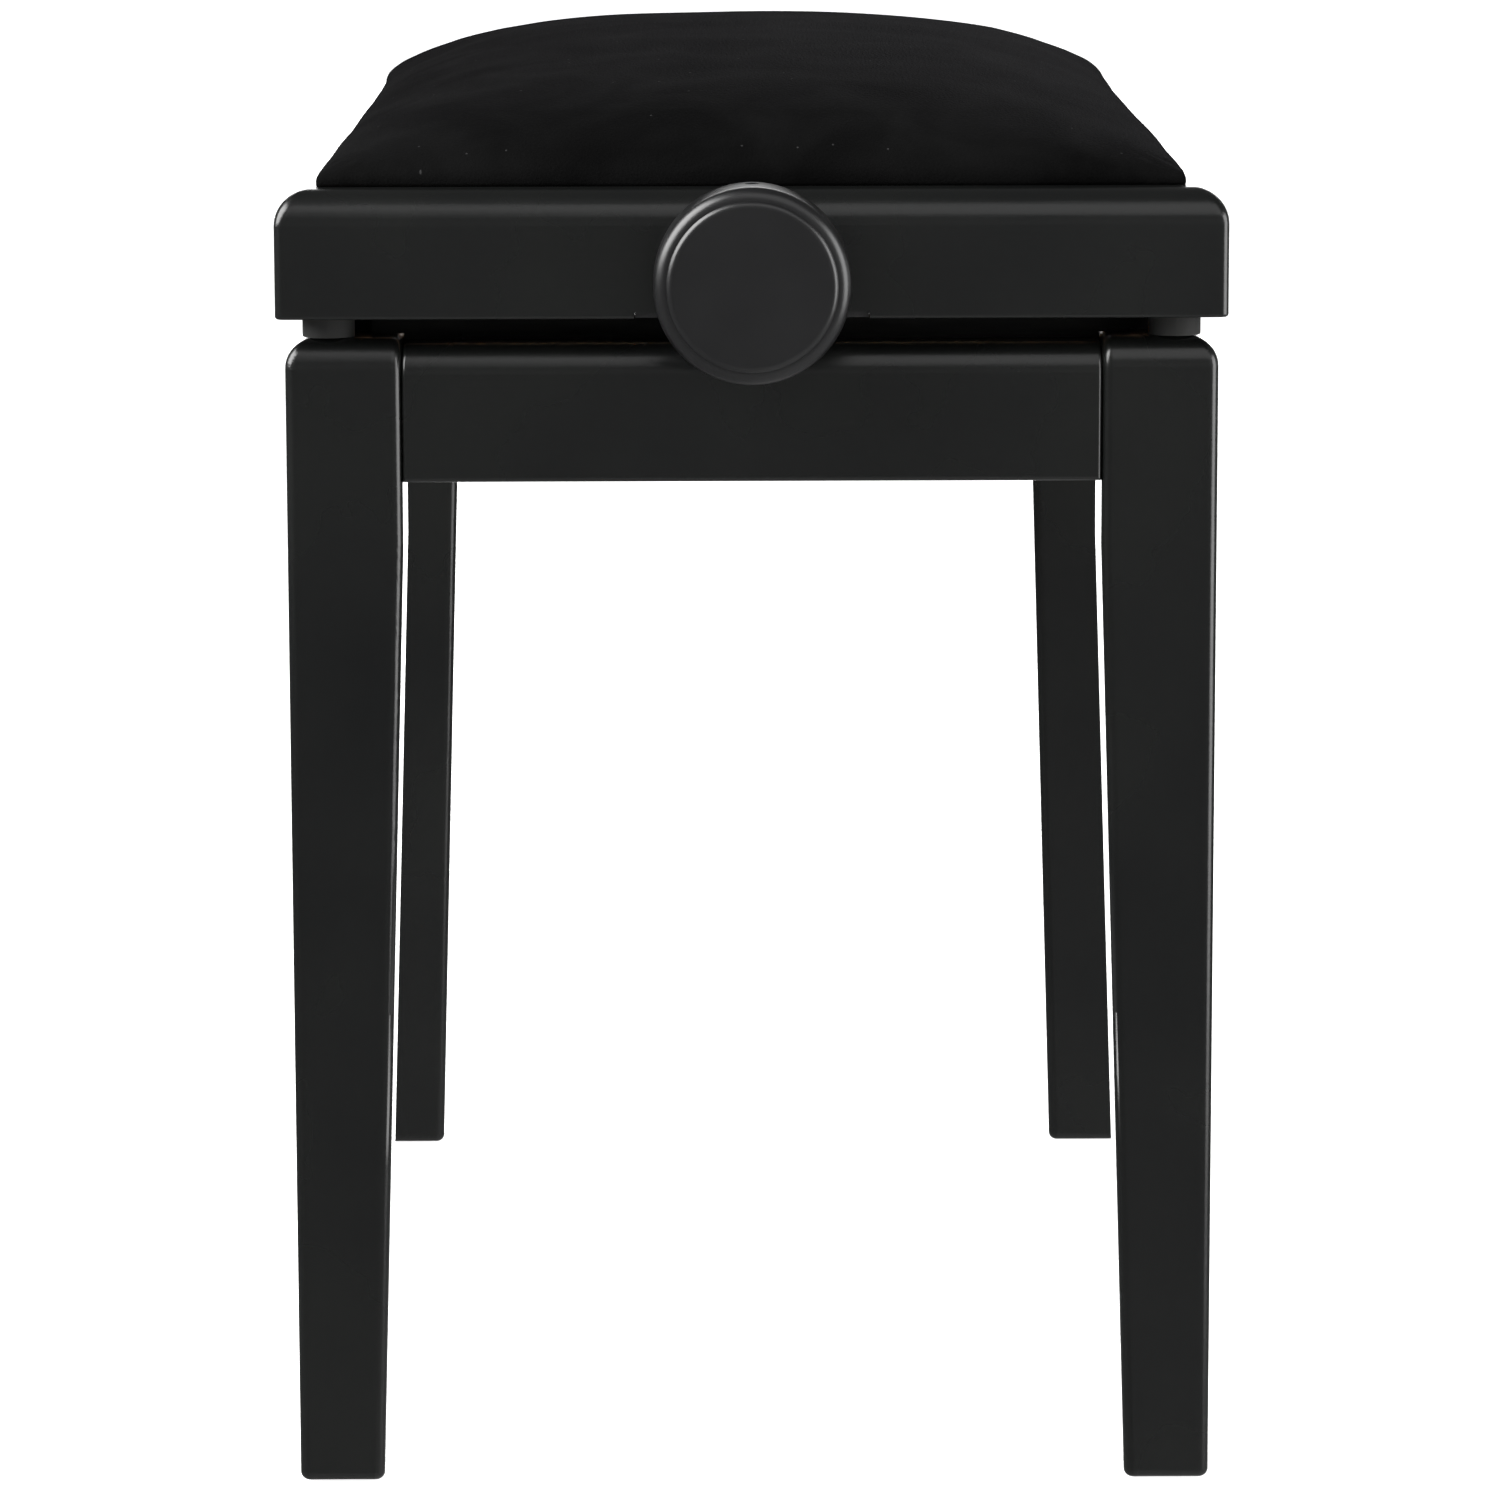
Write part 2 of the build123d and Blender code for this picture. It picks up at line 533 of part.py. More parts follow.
def make_lift():
    """Channels, arms, axles, pins and bushes of the scissor lift."""
    running_hole = PIN_DIAMETER + 2 * RUNNING
    outer_arm = arm(OUTER_ARM_Y, REST_ANGLE, (running_hole, PIN_DIAMETER, running_hole))
    inner_arm = arm(INNER_ARM_Y, -REST_ANGLE, (running_hole, running_hole, PIN_DIAMETER))
    for name, side in SIDES.items():
        nodes[f"base_channel_{name}"] = to_side(channel(BASE_WALL_Y, BASE_PIVOT_Z), side)
        nodes[f"seat_channel_{name}"] = to_side(channel(SEAT_WALL_Y, SPINDLE_Z), side)
        nodes[f"outer_arm_{name}"] = to_side(outer_arm, side)
        nodes[f"inner_arm_{name}"] = to_side(inner_arm, side)
    base_screws = channel_screws(BASE_WALL_Y, BASE_PIVOT_Z)
    seat_screws = channel_screws(SEAT_WALL_Y, SPINDLE_Z)
    group("base_channel_screws", [copy for screw in base_screws for copy in at_both_sides(screw)])
    group("seat_channel_screws", [copy for screw in seat_screws for copy in at_both_sides(screw)])
    for screw in base_screws:
        nodes["apron_right"] -= screw
        nodes["apron_left"] -= to_side(screw, -1)

    # The base axle carries the outer arms and is held by the base channels.
    nodes["base_axle"] = rod_y(PIN_DIAMETER, -PIVOT_REACH, (-BASE_WALL_Y, BASE_WALL_Y), BASE_PIVOT_Z)
    spacer_y = (OUTER_ARM_Y + END_PLAY, BASE_WALL_Y - CHANNEL_WALL)
    spacer = ring_y(SPACER_DIAMETER, PIN_DIAMETER, -PIVOT_REACH, spacer_y, BASE_PIVOT_Z)
    ring_top = OUTER_ARM_INSIDE_Y - END_PLAY
    ring_span = (ring_top - RING_THICKNESS, ring_top)
    ring = ring_y(RING_DIAMETER, PIN_DIAMETER, -PIVOT_REACH, ring_span, BASE_PIVOT_Z)
    group("base_axle_spacers", at_both_sides(spacer))
    group("base_axle_rings", at_both_sides(ring))

    # Centre pins: fixed in the outer arms, the inner arms turn on them.
    pin_end = INNER_ARM_INSIDE_Y - END_PLAY - RING_THICKNESS
    pin = rod_y(PIN_DIAMETER, 0, (pin_end, OUTER_ARM_Y), ARM_CROSSING_Z)
    head_y = (OUTER_ARM_Y, OUTER_ARM_Y + PIN_HEAD_HEIGHT)
    pin += rod_y(PIN_HEAD_DIAMETER, 0, head_y, ARM_CROSSING_Z)
    pin_ring_y = (pin_end, pin_end + RING_THICKNESS)
    pin_ring = ring_y(RING_DIAMETER, PIN_DIAMETER, 0, pin_ring_y, ARM_CROSSING_Z)
    play = (ARM_GAP - RING_THICKNESS + END_PLAY) / 2
    washer_y = (INNER_ARM_Y + play, OUTER_ARM_INSIDE_Y)
    washer = ring_y(RING_DIAMETER, PIN_DIAMETER, 0, washer_y, ARM_CROSSING_Z)
    group("scissor_pins", at_both_sides(pin))
    group("scissor_pin_rings", at_both_sides(pin_ring))
    group("scissor_washers", at_both_sides(washer))

    # The slide axle is fixed in the inner arms and runs in the base channels on two bushes.
    bush_y = (CHANNEL_MOUTH_Y + ARM_GAP / 2, BASE_WALL_Y - CHANNEL_WALL - END_PLAY)
    nodes["slide_axle"] = rod_y(PIN_DIAMETER, PIVOT_REACH, (-bush_y[1], bush_y[1]), BASE_PIVOT_Z)
    lower = ring_y(SLIDE_BUSH_DIAMETER, PIN_DIAMETER, PIVOT_REACH, bush_y, BASE_PIVOT_Z)
    group("lower_slide_bushes", at_both_sides(lower))

    # Seat pivots: shouldered pins riveted into the seat channels' webs.
    shoulder_end = INNER_ARM_Y + END_PLAY
    journal_end = INNER_ARM_INSIDE_Y - END_PLAY - RING_THICKNESS
    web = SEAT_WALL_Y - CHANNEL_WALL
    pivot = rod_y(PIN_DIAMETER, -PIVOT_REACH, (journal_end, SEAT_WALL_Y), SPINDLE_Z)
    pivot += rod_y(SPACER_DIAMETER, -PIVOT_REACH, (shoulder_end, web), SPINDLE_Z)
    pivot_ring_y = (journal_end, journal_end + RING_THICKNESS)
    pivot_ring = ring_y(RING_DIAMETER, PIN_DIAMETER, -PIVOT_REACH, pivot_ring_y, SPINDLE_Z)
    group("seat_pivot_pins", at_both_sides(pivot))
    group("seat_pivot_rings", at_both_sides(pivot_ring))

    # Ties welded between the arms of each pair, near the lower pivots.
    tie_rise = TIE_SHIFT * math.tan(math.radians(REST_ANGLE))
    outer_tie_y = (-OUTER_ARM_INSIDE_Y, OUTER_ARM_INSIDE_Y)
    inner_tie_y = (-INNER_ARM_INSIDE_Y, INNER_ARM_INSIDE_Y)
    tie_x = PIVOT_REACH - TIE_SHIFT
    nodes["outer_arm_tie"] = rod_y(TIE_DIAMETER, -tie_x, outer_tie_y, BASE_PIVOT_Z + tie_rise)
    nodes["inner_arm_tie"] = rod_y(TIE_DIAMETER, tie_x, inner_tie_y, BASE_PIVOT_Z + tie_rise)

    # The cross bar hangs in the outer arms' upper ends and slides in the seat channels.
    half = CROSS_BAR_SIDE / 2
    bar_end = OUTER_ARM_INSIDE_Y - END_PLAY
    bar_x = (PIVOT_REACH - half, PIVOT_REACH + half)
    bar = box(bar_x, (-bar_end, bar_end), (SPINDLE_Z - half, SPINDLE_Z + half))
    journal = SEAT_WALL_Y - CHANNEL_WALL - END_PLAY
    bar += rod_y(PIN_DIAMETER, PIVOT_REACH, (-journal, journal), SPINDLE_Z)
    nodes["cross_bar"] = bar - rod_x(NUT_DIAMETER, bar_x, 0, SPINDLE_Z)
    upper_y = (CHANNEL_MOUTH_Y + ARM_GAP / 2, journal)
    upper = ring_y(SLIDE_BUSH_DIAMETER, PIN_DIAMETER, PIVOT_REACH, upper_y, SPINDLE_Z)
    group("upper_slide_bushes", at_both_sides(upper))
    flange_x = (bar_x[1], bar_x[1] + NUT_FLANGE_THICKNESS)
    nut = rod_x(NUT_DIAMETER, bar_x, 0, SPINDLE_Z)
    nut += rod_x(NUT_FLANGE_DIAMETER, flange_x, 0, SPINDLE_Z)
    bore = SPINDLE_DIAMETER + 2 * RUNNING
    nodes["spindle_nut"] = nut - rod_x(bore, (bar_x[0], flange_x[1]), 0, SPINDLE_Z)


# ---- Spindle and its bearings ----
def spindle():
    """The spindle, turned from one bar, with ring-shaped thread crests near the cross bar."""
    end = KNOB_BACK_X + KNOB_BORE_DEPTH
    crest = SPINDLE_DIAMETER / 2
    start = PIVOT_REACH - THREAD_REACH_IN
    turns = math.floor((THREAD_REACH_IN + THREAD_REACH_OUT) / THREAD_PITCH)
    outline = [(-end, 0), (-end, crest)]
    for turn in range(turns):
        x = start + turn * THREAD_PITCH
        outline += [(x, crest), (x + THREAD_PITCH / 2, crest - THREAD_DEPTH)]
    outline += [(start + turns * THREAD_PITCH, crest), (end, crest), (end, 0)]
    profile = make_face(Polyline(*outline, close=True))
    return Pos(0, 0, SPINDLE_Z) * revolve(profile, axis=Axis.X)


def bracket_screws():
    """The near bracket's two screws into the end rail."""
    screws = []
    for y in (-BRACKET_SCREW_REACH, BRACKET_SCREW_REACH):
        head = rod_x(SCREW_HEAD_DIAMETER, (BRACKET_X - SCREW_HEAD_HEIGHT, BRACKET_X), y, SPINDLE_Z)
        shank = rod_x(SCREW_DIAMETER, (BRACKET_X, BRACKET_X + SCREW_LENGTH), y, SPINDLE_Z)
        screws.append(head + shank)
    return screws


def bracket():
    """The near steel angle: upright against the rail, foot let into the notch."""
    top = SEAT_BOTTOM + NOTCH_HEIGHT
    y = (-NOTCH_WIDTH / 2 + END_PLAY, NOTCH_WIDTH / 2 - END_PLAY)
    upright_z = (top - BRACKET_THICKNESS, SEAT_BOTTOM + BRACKET_HEIGHT)
    body = box((BRACKET_X, RAIL_INSIDE_X), y, upright_z)
    foot_x = (BRACKET_X, SEAT_LENGTH / 2 - BRACKET_SETBACK)
    body += box(foot_x, y, (top - BRACKET_THICKNESS, top))
    for screw in bracket_screws():
        body -= screw
    return body - rod_x(BUSH_DIAMETER, (BRACKET_X, RAIL_INSIDE_X), 0, SPINDLE_Z)


def bearing_bush():
    """The near flanged bush that the spindle turns in."""
    body = rod_x(BUSH_DIAMETER, (BRACKET_X, BRACKET_X + BUSH_LENGTH), 0, SPINDLE_Z)
    body += rod_x(BUSH_FLANGE_DIAMETER, (BUSH_FLANGE_X, BRACKET_X), 0, SPINDLE_Z)
    bore = SPINDLE_DIAMETER + 2 * RUNNING
    return body - rod_x(bore, (BUSH_FLANGE_X, BRACKET_X + BUSH_LENGTH), 0, SPINDLE_Z)


def set_screw(x, outer_diameter):
    """A headless screw down onto the spindle, just below the surface around it."""
    low = SPINDLE_Z + SPINDLE_DIAMETER / 2
    high = SPINDLE_Z + outer_diameter / 2 - SET_SCREW_RECESS
    return rod_z(SET_SCREW_DIAMETER, x, 0, (low, high))


def set_screw_hole(x, outer_diameter):
    """The tapped hole of a set screw, from the spindle to past the outside."""
    return rod_z(SET_SCREW_DIAMETER, x, 0, (SPINDLE_Z, SPINDLE_Z + outer_diameter / 2 + 1))


def thrust_collar():
    """The near collar, which keeps the spindle from sliding out."""
    x = (COLLAR_X - COLLAR_LENGTH, COLLAR_X)
    body = rod_x(COLLAR_DIAMETER, x, 0, SPINDLE_Z) - rod_x(SPINDLE_DIAMETER, x, 0, SPINDLE_Z)
    return body - set_screw_hole(sum(x) / 2, COLLAR_DIAMETER)


def knob():
    """The near knob: a turned disc with a raised flat face inside a rounded rim."""
    radius = KNOB_DIAMETER / 2
    face = KNOB_FACE_DIAMETER / 2
    front = KNOB_BACK_X + KNOB_LENGTH
    shoulder = front - KNOB_FACE_STEP
    back = KNOB_BACK_X + KNOB_BACK_ROUND
    rim = shoulder - KNOB_RIM_ROUND
    corner = math.sqrt(0.5)
    back_middle = (back - KNOB_BACK_ROUND * corner, radius - KNOB_BACK_ROUND * (1 - corner))
    rim_middle = (rim + KNOB_RIM_ROUND * corner, face + KNOB_RIM_ROUND * corner)
    turn = math.acos(1 - KNOB_FACE_STEP / KNOB_FACE_ROUND)
    flat = face - KNOB_FACE_ROUND * math.sin(turn)
    face_middle = (
        front - KNOB_FACE_ROUND * (1 - math.cos(turn / 2)),
        flat + KNOB_FACE_ROUND * math.sin(turn / 2),
    )
    edges = [
        Line((KNOB_BACK_X, 0), (KNOB_BACK_X, radius - KNOB_BACK_ROUND)),
        ThreePointArc((KNOB_BACK_X, radius - KNOB_BACK_ROUND), back_middle, (back, radius)),
        Line((back, radius), (rim, radius)),
        ThreePointArc((rim, radius), rim_middle, (shoulder, face)),
        ThreePointArc((shoulder, face), face_middle, (front, flat)),
        Line((front, flat), (front, 0)),
        Line((front, 0), (KNOB_BACK_X, 0)),
    ]
    body = Pos(0, 0, SPINDLE_Z) * revolve(make_face(edges), axis=Axis.X)
    bore_x = (KNOB_BACK_X, KNOB_BACK_X + KNOB_BORE_DEPTH)
    body -= rod_x(SPINDLE_DIAMETER, bore_x, 0, SPINDLE_Z)
    return body - set_screw_hole(KNOB_BACK_X + KNOB_BORE_DEPTH / 2, KNOB_DIAMETER)


def make_drive():
    """Spindle, brackets, bushes, collars, knobs and their screws."""
    nodes["spindle"] = spindle()
    group("bracket_screws", [copy for screw in bracket_screws() for copy in at_both_ends(screw)])
    group("collar_set_screws", at_both_ends(set_screw(COLLAR_X - COLLAR_LENGTH / 2, COLLAR_DIAMETER)))
    knob_screw = set_screw(KNOB_BACK_X + KNOB_BORE_DEPTH / 2, KNOB_DIAMETER)
    group("knob_set_screws", at_both_ends(knob_screw))
    for name, end in ENDS.items():
        nodes[f"spindle_bracket_{name}"] = to_end(bracket(), end)
        nodes[f"spindle_bush_{name}"] = to_end(bearing_bush(), end)
        nodes[f"thrust_collar_{name}"] = to_end(thrust_collar(), end)
        nodes[f"knob_{name}"] = to_end(knob(), end)


make_base()
make_seat()
make_lift()
make_drive()

os.makedirs("parts", exist_ok=True)
for node_name, shape in nodes.items():
    export_step(shape, f"parts/{node_name}.step")
print(f"{len(nodes)} nodes")
print(f"rest angle {REST_ANGLE:.3f} deg, arm pivots {ARM_LENGTH:.2f} mm apart")
print(f"pivot heights {BASE_PIVOT_Z:.2f} and {SPINDLE_Z:.2f} mm")
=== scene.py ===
# %% [markdown]
# # A height-adjustable piano bench
# The wood, the steel and the knobs come as finished shapes from the imported model.
# This lesson gives them their finishes, makes the upholstered seat, and sets up a small studio.
# The default scene's cube, lamp and camera go first, so that only the bench is left.

# %% Load the bench
import json
import math

import bmesh
import bpy
import numpy as np
from mathutils import Matrix, Vector, noise

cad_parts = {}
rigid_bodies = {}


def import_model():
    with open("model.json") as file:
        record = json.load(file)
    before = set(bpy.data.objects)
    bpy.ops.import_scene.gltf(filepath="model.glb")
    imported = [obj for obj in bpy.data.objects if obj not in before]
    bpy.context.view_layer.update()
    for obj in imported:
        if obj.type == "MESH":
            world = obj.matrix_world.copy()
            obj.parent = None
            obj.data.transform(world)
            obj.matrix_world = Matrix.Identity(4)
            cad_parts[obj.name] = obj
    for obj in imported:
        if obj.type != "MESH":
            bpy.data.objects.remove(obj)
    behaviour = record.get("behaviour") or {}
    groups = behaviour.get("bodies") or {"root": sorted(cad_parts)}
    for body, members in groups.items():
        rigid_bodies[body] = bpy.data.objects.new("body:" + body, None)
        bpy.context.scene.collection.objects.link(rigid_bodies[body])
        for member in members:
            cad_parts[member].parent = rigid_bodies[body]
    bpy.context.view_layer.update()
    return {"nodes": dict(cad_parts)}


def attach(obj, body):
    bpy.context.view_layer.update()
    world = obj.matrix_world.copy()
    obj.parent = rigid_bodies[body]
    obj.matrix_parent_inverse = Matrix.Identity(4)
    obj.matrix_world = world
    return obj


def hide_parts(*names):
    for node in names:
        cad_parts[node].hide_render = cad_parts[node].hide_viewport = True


for leftover in list(bpy.data.objects):
    bpy.data.objects.remove(leftover)
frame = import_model()
nodes = frame["nodes"]

# %% [markdown]
# ## The camera
# The bench is seen from its end, a little from above, with a long lens from about 2.2 m away.
# A long lens keeps the far legs nearly as large as the near ones.
# A camera looks along its own -Z, so three axes and a place are all it needs: right, up and back.

# %% Camera
LENS_MM, SENSOR_MM = 157.16, 36.0
EYE = Vector((2.50807, -0.01314, 0.64855))
PITCH, YAW, ROLL = 0.171602, 0.0055923, -0.0023522   # radians: down, to the right, and about the view

forward = Vector((-math.cos(YAW) * math.cos(PITCH), math.sin(YAW) * math.cos(PITCH), -math.sin(PITCH)))
level_right = Vector((math.sin(YAW), math.cos(YAW), 0))
level_up = level_right.cross(forward)
right = math.cos(ROLL) * level_right + math.sin(ROLL) * level_up
up = math.cos(ROLL) * level_up - math.sin(ROLL) * level_right

camera_data = bpy.data.cameras.new("camera")
camera_data.lens = LENS_MM
camera_data.sensor_width = SENSOR_MM
camera_data.clip_start, camera_data.clip_end = 0.05, 100
camera = bpy.data.objects.new("camera", camera_data)
bpy.context.scene.collection.objects.link(camera)
camera.matrix_world = Matrix((right, up, -forward)).transposed().to_4x4()
camera.location = EYE
bpy.context.scene.camera = camera
print("camera", round((EYE - Vector((0.275, 0, 0.45))).length, 2), "m from the near rail")

# %% [markdown]
# ## Two helpers for every finish
# Colours are written as the hex values a colour picker gives, which are sRGB.
# The shader wants linear light, so one function turns one into the other.
# A second function adds a node, sets it up and links it, and is the only one the finishes need.

# %% Colour and node helpers
def colour(hex_value):
    """A linear RGBA colour from an sRGB hex value such as 0c0d0c."""
    channels = [int(hex_value[i:i + 2], 16) / 255 for i in (0, 2, 4)]
    return [c / 12.92 if c <= 0.04045 else ((c + 0.055) / 1.055) ** 2.4 for c in channels] + [1]


def add(tree, kind, inputs=None, **settings):
    """Adds a node. inputs gives each named socket a number, a colour or another node's output."""
    node = tree.nodes.new(kind)
    for name, value in settings.items():
        setattr(node, name, value)
    for name, value in (inputs or {}).items():
        socket = node.inputs[name]
        if isinstance(value, bpy.types.NodeSocket):
            tree.links.new(value, socket)
        else:
            socket.default_value = value
    return node


def new_material(name):
    """An empty material with its node tree."""
    material = bpy.data.materials.new(name)
    material.use_nodes = True
    material.node_tree.nodes.clear()
    return material, material.node_tree


def dress(names, material):
    """Puts one material on each of these parts."""
    for name in names:
        slots = nodes[name].data.materials
        slots.clear()
        slots.append(material)
        nodes[name].data.update()


print("black lacquer in linear light:", [round(c, 4) for c in colour("0c0d0c")[:3]])

# %% [markdown]
# ## Studio: floor and light
# A pale, matt floor runs far back, so that it fills the view up to the top.
# It glows a little, as a floor lit from below does in a studio for cut-out pictures, so it stays white.
# Black satin lacquer shows what stands around it more than its own colour.
# A white floor would turn it grey, so the floor is left out of reflections, and the room decides them.

# %% Pale floor
FLOOR_REACH = 40.0
floor_mesh = bpy.data.meshes.new("floor")
corners = [(x * FLOOR_REACH, y * FLOOR_REACH, 0) for x, y in ((-1, -1), (1, -1), (1, 1), (-1, 1))]
floor_mesh.from_pydata(corners, [], [(0, 1, 2, 3)])
floor = bpy.data.objects.new("floor", floor_mesh)
bpy.context.scene.collection.objects.link(floor)
floor.visible_glossy = False

painted_floor, tree = new_material("matt_white_painted_floor")
shader = add(tree, "ShaderNodeBsdfPrincipled", {"Base Color": colour("e6e6e6"), "Roughness": 0.9,
                                                "Emission Color": colour("ffffff"), "Emission Strength": 0.95})
add(tree, "ShaderNodeOutputMaterial", {"Surface": shader.outputs["BSDF"]})
floor_mesh.materials.append(painted_floor)
print("floor is", 2 * FLOOR_REACH, "m square")

# %% [markdown]
# The room is very bright straight behind the bench and dim elsewhere.
# So grazing reflections on the rails and legs turn nearly white, and faces that look at the camera stay dark.
# The dim part still varies with height, which gives the tall, flat faces of the legs a slow change of tone.
# A soft box over the camera, a little to the right, draws a band along the rounded edges.
# One box stands on each side, and these give the knob its crescents. None of them is in the picture itself.

# %% Soft light
def soft_box(name, place, target, size, glow):
    """A rectangular area light at place that faces target and shines as brightly as glow, where white is 1."""
    lamp = bpy.data.lights.new(name, "AREA")
    lamp.shape = "RECTANGLE"
    lamp.size, lamp.size_y = size
    lamp.energy = glow * math.pi * size[0] * size[1]
    holder = bpy.data.objects.new(name, lamp)
    bpy.context.scene.collection.objects.link(holder)
    holder.location = place
    holder.rotation_euler = (Vector(target) - Vector(place)).to_track_quat("-Z", "Y").to_euler()
    holder.visible_camera = False
    return holder


NEAR_RAIL = (0.2, 0, 0.4)
soft_box("camera_box", place=(1.9, 0.6, 2.2), target=NEAR_RAIL, size=(1.9, 1.8), glow=1.05)
soft_box("right_box", place=(1.1, 2.2, 0.7), target=NEAR_RAIL, size=(1.6, 2.1), glow=6.0)
soft_box("left_box", place=(0.8, -1.8, 1.8), target=NEAR_RAIL, size=(2.0, 2.2), glow=12.0)

# %% [markdown]
# The room itself is a world shader, which gives a glow to each direction.
# A direction's X tells how far behind the bench it points, and its Z how high.

# %% The room
BRIGHT_BEHIND = 6.5
WHOLLY_BEHIND, NO_LONGER_BEHIND = -0.985, -0.86     # X of a direction
DIM_BY_HEIGHT = ((-0.35, 0.42), (-0.28, 0.28), (-0.22, 0.02), (-0.17, 0.02), (-0.11, 0.12), (-0.06, 0.34),
                 (0.05, 0.34), (0.2, 0.2), (0.5, 0.1))      # Z of a direction, and its glow
DIM_ON_THE_LEFT, DIM_ON_THE_RIGHT, SIDEWAYS_REACH = 0.75, 1.3, 0.12   # factors, and the Y they are reached at

world = bpy.data.worlds.new("studio_room")
world.use_nodes = True
world.node_tree.nodes.clear()
room = world.node_tree
heading = add(room, "ShaderNodeTexCoord")
axes = add(room, "ShaderNodeSeparateXYZ", {"Vector": heading.outputs["Generated"]})
height = add(room, "ShaderNodeMapRange", {"Value": axes.outputs["Z"], "From Min": -0.5, "From Max": 0.5})
dim = add(room, "ShaderNodeValToRGB", {"Fac": height.outputs[0]})
ramp = dim.color_ramp.elements
while len(ramp) < len(DIM_BY_HEIGHT):
    ramp.new(0.5)
for stop, (level, grey) in zip(ramp, DIM_BY_HEIGHT):
    stop.position, stop.color = level + 0.5, (grey, grey, grey, 1)
sideways = add(room, "ShaderNodeMapRange", {"Value": axes.outputs["Y"], "From Min": -SIDEWAYS_REACH,
                                            "From Max": SIDEWAYS_REACH, "To Min": DIM_ON_THE_LEFT,
                                            "To Max": DIM_ON_THE_RIGHT})
in_front = add(room, "ShaderNodeMath", {0: dim.outputs["Color"], 1: sideways.outputs[0]}, operation="MULTIPLY")
behind = add(room, "ShaderNodeMapRange", {"Value": axes.outputs["X"], "From Min": WHOLLY_BEHIND,
                                          "From Max": NO_LONGER_BEHIND, "To Min": 1.0, "To Max": 0.0},
             interpolation_type="SMOOTHSTEP")
glow = add(room, "ShaderNodeMix", {"Factor": behind.outputs[0], "A": in_front.outputs[0], "B": BRIGHT_BEHIND})
walls = add(room, "ShaderNodeBackground", {"Color": colour("ffffff"), "Strength": glow.outputs["Result"]})
add(room, "ShaderNodeOutputWorld", {"Surface": walls.outputs["Background"]})
bpy.context.scene.world = world
bpy.context.scene.view_settings.view_transform = "Standard"

# %% [markdown]
# ## Black lacquered wood
# The frame is beech, sprayed black and rubbed to a satin.
# Lacquer is a clear film with an IOR of about 1.5, so it is not a metal,
# and a roughness near 0.27 gives the wide, soft reflections of satin.
# Wood fibres still show as very shallow ridges along the grain, and the film has a slight orange peel.
# Grain runs along each piece, so the same recipe is made three times, once for each direction.

# %% Lacquer
FIBRE_MM = 1.6      # pores are about 0.3 mm apart, too fine to show, so they are drawn coarser
PEEL_MM = 3.0       # ripples of sprayed lacquer


def lacquered_wood(axis):
    """Black satin lacquer on wood whose grain runs along axis 0, 1 or 2."""
    material, tree = new_material("black_satin_lacquer_grain_" + "xyz"[axis])
    place = add(tree, "ShaderNodeTexCoord")
    stretch = [1.0, 1.0, 1.0]
    stretch[axis] = 0.03
    along = add(tree, "ShaderNodeMapping", {"Vector": place.outputs["Object"], "Scale": stretch})
    fibres = add(tree, "ShaderNodeTexNoise", {"Vector": along.outputs["Vector"], "Scale": 1000 / FIBRE_MM,
                                              "Detail": 3.0, "Roughness": 0.6})
    peel = add(tree, "ShaderNodeTexNoise", {"Vector": place.outputs["Object"], "Scale": 1000 / PEEL_MM,
                                            "Detail": 1.0})
    cloudy = add(tree, "ShaderNodeTexNoise", {"Vector": place.outputs["Object"], "Scale": 9.0, "Detail": 4.0})
    tint = add(tree, "ShaderNodeValToRGB", {"Fac": cloudy.outputs["Fac"]})
    tint.color_ramp.elements[0].position, tint.color_ramp.elements[0].color = 0.3, colour("080909")
    tint.color_ramp.elements[1].position, tint.color_ramp.elements[1].color = 0.7, colour("0c0d0c")
    gloss = add(tree, "ShaderNodeMapRange", {"Value": cloudy.outputs["Fac"], "From Min": 0.25, "From Max": 0.75,
                                             "To Min": 0.24, "To Max": 0.30})
    ridges = add(tree, "ShaderNodeBump", {"Height": fibres.outputs["Fac"], "Strength": 0.10, "Distance": 0.0004})
    ripple = add(tree, "ShaderNodeBump", {"Height": peel.outputs["Fac"], "Strength": 0.05, "Distance": 0.0006,
                                          "Normal": ridges.outputs["Normal"]})
    shader = add(tree, "ShaderNodeBsdfPrincipled", {"Base Color": tint.outputs["Color"], "IOR": 1.5,
                                                    "Roughness": gloss.outputs[0],
                                                    "Normal": ripple.outputs["Normal"]})
    add(tree, "ShaderNodeOutputMaterial", {"Surface": shader.outputs["BSDF"]})
    return material


lacquer = [lacquered_wood(axis) for axis in range(3)]
dress(["seat_rail_left", "seat_rail_right", "apron_left", "apron_right"], lacquer[0])
dress(["seat_rail_near", "seat_rail_far", "apron_near", "apron_far"], lacquer[1])
dress([n for n in nodes if n.startswith(("leg_near", "leg_far"))], lacquer[2])
print("lacquer along x, y and z:", [material.name for material in lacquer])

# %% [markdown]
# ## Stained strips in the gap
# The strips that close the gap under the seat are pine left without lacquer, drawn near black as painted shade of
# the gap.
# Bare wood is rough, so it has almost no reflection and the gap stays dark.

# %% Painted gap shade
GAP_STRIP_GRAIN_MM = 2.5

gap_strips_painted_shade, tree = new_material("black_pine_painted_gap_shade")
place = add(tree, "ShaderNodeTexCoord")
along = add(tree, "ShaderNodeMapping", {"Vector": place.outputs["Object"], "Scale": (0.15, 0.15, 1.0)})
grain = add(tree, "ShaderNodeTexNoise", {"Vector": along.outputs["Vector"], "Scale": 1000 / GAP_STRIP_GRAIN_MM,
                                         "Detail": 2.0})
# These near-black colours are painted shade: the strips stand where the gap under the seat lies in shade.
painted_gap_shade_ramp = add(tree, "ShaderNodeValToRGB", {"Fac": grain.outputs["Fac"]})
painted_gap_shade_ramp.color_ramp.elements[0].position, painted_gap_shade_ramp.color_ramp.elements[0].color = 0.35, colour("050505")
painted_gap_shade_ramp.color_ramp.elements[1].position, painted_gap_shade_ramp.color_ramp.elements[1].color = 0.65, colour("0a0a09")
raised = add(tree, "ShaderNodeBump", {"Height": grain.outputs["Fac"], "Strength": 0.2, "Distance": 0.0002})
